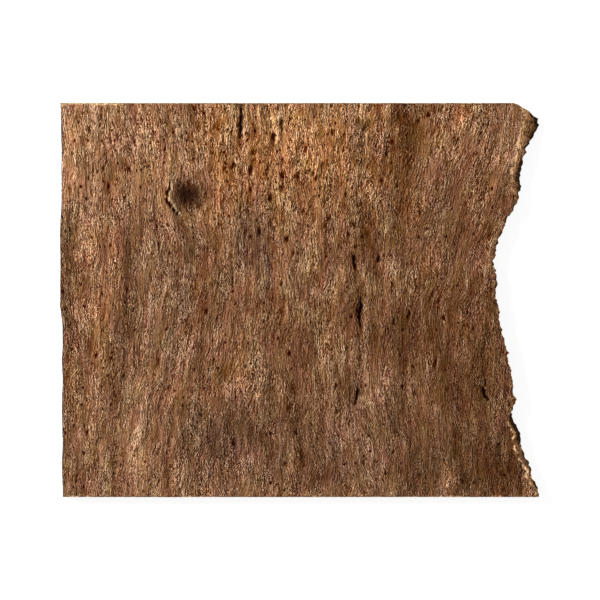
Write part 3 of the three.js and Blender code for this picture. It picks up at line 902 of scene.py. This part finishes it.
def fibre_layers(tree, grain):
    """The layers along the wavy fibres, which the face's colour and its bump share."""
    wander = weighed(tree, layer(tree, grain, "wander"), "wander")
    wavy = move(tree, "ADD", grain, add(tree, "ShaderNodeCombineXYZ", {"X": wander}).outputs[0])
    made = {name: painted_slope_light(tree, wavy, *SLOPE_LIGHT_LAYERS[name]) for name in SLOPE_LIGHT_LAYERS}
    for name in ("streaks", "strokes", "gathers", "flakes"):
        made[name] = layer(tree, wavy, name)
    for name in ("strands", "hairs"):
        made[name] = grooves(tree, layer(tree, wavy, name))
    made["pits"] = small_pits(tree, wavy, attribute(tree, "pits"))
    return made


def face_tone(tree, grain, fibres, shade):
    """The face's tone: fibres that gather and stand out in places, with painted light and shade on their
    slopes and sides, on streaks, flakes and shade, less the painted shade of small pits.
    """
    swings = {name: weighed(tree, fibres[name], name) for name in fibres if name in WEIGHTS}
    # Painted light and shade of the finest slopes, lit from one side across the grain
    fine = total(tree, swings["painted_speck_light"], swings["painted_small_slope_light"], swings["painted_tiny_slope_light"])
    fine = calculate(tree, "MULTIPLY", fine, mapped(tree, fibres["gathers"], *GATHER_RANGE))
    fibre = total(tree, fine, swings["strands"], swings["hairs"], swings["strokes"])
    bundles = mapped(tree, layer(tree, grain, "bundles"), *BUNDLE_RANGE)
    contrast = calculate(tree, "MULTIPLY", bundles, attribute(tree, "contrast"))
    fibre = calculate(tree, "MULTIPLY", fibre, contrast)
    # The painted shade on the fibres' dark sides outweighs the painted light on their lit sides
    bend = calculate(tree, "SUBTRACT", 1.0, calculate(tree, "MULTIPLY", fibre, FIBRE_SHADE_BIAS))
    fibre = calculate(tree, "MULTIPLY", fibre, bend)
    tone = calculate(tree, "ADD", attribute(tree, "tone"), TONE_MIDDLE)
    shading = calculate(tree, "MULTIPLY", shade, SHADE_TONE)
    tone = total(tree, tone, shading, fibre, swings["streaks"], swings["flakes"])
    return calculate(tree, "SUBTRACT", tone, calculate(tree, "MULTIPLY", fibres["pits"], SMALL_PIT_SHADE))


def face_colour(tree, grain, fibres):
    """The grained inner face, with tints that change over it and light and dark places."""
    blotches, tint, colourful = (
        weighed(tree, layer(tree, grain, name), name) for name in ("blotches", "tint", "colourfulness")
    )
    shade = calculate(tree, "ADD", attribute(tree, "shade"), blotches)
    colour = ramp(tree, face_tone(tree, grain, fibres, shade), FACE_COLOURS)
    hue = calculate(tree, "ADD", HUE_MIDDLE, tint)
    colourful = calculate(tree, "ADD", COLOURFULNESS_MIDDLE, colourful)
    dark = calculate(tree, "MULTIPLY", calculate(tree, "MINIMUM", shade, 0.0), SHADE_COLOURFULNESS)
    colourful = calculate(tree, "SUBTRACT", colourful, dark)
    inputs = {"Hue": hue, "Saturation": colourful, "Color": colour}
    colour = add(tree, "ShaderNodeHueSaturation", inputs).outputs[0]
    gain = calculate(tree, "EXPONENT", calculate(tree, "MULTIPLY", shade, SHADE_GAIN))
    return add(tree, "ShaderNodeVectorMath", {0: colour, 3: gain}, operation="SCALE").outputs[0]


def core_colour(tree, grain):
    """The pale cork inside the bark: crumbs and pores, in thin sheets along the face, with stains."""
    slant = (-GRAIN_SLANT[0], -GRAIN_SLANT[1], 1)
    dot = add(tree, "ShaderNodeVectorMath", {0: grain, 1: slant}, operation="DOT_PRODUCT")
    sides = add(tree, "ShaderNodeSeparateXYZ", {0: grain}).outputs
    inputs = {0: sides[0], 1: sides[1], 2: dot.outputs["Value"]}
    straight = add(tree, "ShaderNodeCombineXYZ", inputs).outputs[0]
    pores = mapped(tree, layer(tree, grain, "pores"), *PORE_RANGE)
    cork = calculate(tree, "SUBTRACT", layer(tree, grain, "crumbs"), pores)
    swings = [weighed(tree, layer(tree, straight, name), name) for name in ("sheets", "stains")]
    return ramp(tree, total(tree, cork, *swings), CORE_COLOURS)


def bark_bump(tree, fibres, scales, furrows):
    """Fibres and small pits on the face, and scales and furrows on the crust."""
    parts = [calculate(tree, "MULTIPLY", fibres[name], share)
             for name, share in (("hairs", HAIR_BUMP), ("painted_speck_light", SPECK_BUMP), ("pits", -PIT_BUMP))]
    face = total(tree, fibres["strands"], *parts)
    crust = calculate(tree, "ADD", calculate(tree, "MULTIPLY", scales, SCALE_BUMP), furrows)
    height = add(tree, "ShaderNodeMix", {0: attribute(tree, "crust"), 2: face, 3: crust}).outputs[0]
    inputs = {"Strength": 1.0, "Distance": BUMP_HEIGHT * MM, "Height": height}
    return add(tree, "ShaderNodeBump", inputs).outputs[0]


def bark_material():
    material = bpy.data.materials.new("bark")
    material.use_nodes = True
    tree = material.node_tree
    tree.nodes.clear()
    grain = attribute(tree, "grain", "Vector")
    fibres = fibre_layers(tree, grain)
    scales, furrows = layer(tree, grain, "scales"), grooves(tree, layer(tree, grain, "furrows"))

    crust_tone = total(tree, scales, attribute(tree, "tone"), weighed(tree, furrows, "furrows"))
    ragged = layer(tree, grain, "ragged")
    bare, crusted = (broken(tree, attribute(tree, key), ragged) for key in ("core", "crust"))
    colour = blend_colours(tree, bare, face_colour(tree, grain, fibres), core_colour(tree, grain))
    colour = blend_colours(tree, crusted, colour, ramp(tree, crust_tone, CRUST_COLOURS))
    saturation = calculate(tree, "ADD", 1.0, attribute(tree, "warmth"))
    colour = add(tree, "ShaderNodeHueSaturation", {"Saturation": saturation, "Color": colour}).outputs[0]

    smoother = calculate(tree, "MULTIPLY", fibres["strands"], STRAND_ROUGHNESS)
    shader = add(tree, "ShaderNodeBsdfPrincipled", {
        "Base Color": colour,
        "Roughness": calculate(tree, "ADD", smoother, ROUGHNESS),
        "Specular IOR Level": SPECULAR,
        "Normal": bark_bump(tree, fibres, scales, furrows),
    })
    add(tree, "ShaderNodeOutputMaterial", {"Surface": shader.outputs[0]})
    return material


def link(name, data):
    made = bpy.data.objects.new(name, data)
    bpy.context.scene.collection.objects.link(made)
    return made


def make_bark():
    bark = link("bark_piece", bark_mesh())
    bark.data.materials.append(bark_material())
    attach(bark, "root")
    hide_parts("bark")


def make_floor():
    mesh = bpy.data.meshes.new("floor")
    h = FLOOR_HALF
    mesh.from_pydata([(-h, -h, 0), (h, -h, 0), (h, h, 0), (-h, h, 0)], [], [(0, 1, 2, 3)])
    material = bpy.data.materials.new("floor")
    material.use_nodes = True
    shader = material.node_tree.nodes["Principled BSDF"]
    shader.inputs["Base Color"].default_value = FLOOR_COLOUR
    shader.inputs["Roughness"].default_value = FLOOR_ROUGHNESS
    shader.inputs["Emission Color"].default_value = WHITE
    shader.inputs["Emission Strength"].default_value = FLOOR_GLOW
    mesh.materials.append(material)
    link("floor", mesh)


def make_camera():
    data = bpy.data.cameras.new("camera")
    data.sensor_width = SENSOR
    data.lens = SENSOR * CAMERA_DISTANCE / FRAME_WIDTH
    data.clip_end = CAMERA_REACH
    camera = link("camera", data)
    camera.location = (0, 0, FACE_HEIGHT * MM + CAMERA_DISTANCE)
    bpy.context.scene.camera = camera


def make_lights():
    world = bpy.data.worlds.new("studio")
    world.use_nodes = True
    background = world.node_tree.nodes["Background"]
    background.inputs["Color"].default_value = WHITE
    background.inputs["Strength"].default_value = WORLD_STRENGTH
    bpy.context.scene.world = world
    data = bpy.data.lights.new("key", "AREA")
    data.shape = "DISK"
    data.size = KEY_LIGHT["size"]
    data.energy = KEY_LIGHT["energy"]
    key = link("key", data)
    key.location = KEY_LIGHT["place"]
    key.rotation_mode = "QUATERNION"
    key.rotation_quaternion = (-key.location).to_track_quat("-Z", "Y")
    bpy.context.scene.view_settings.view_transform = "Standard"


make_camera()
make_lights()
make_floor()
make_bark()
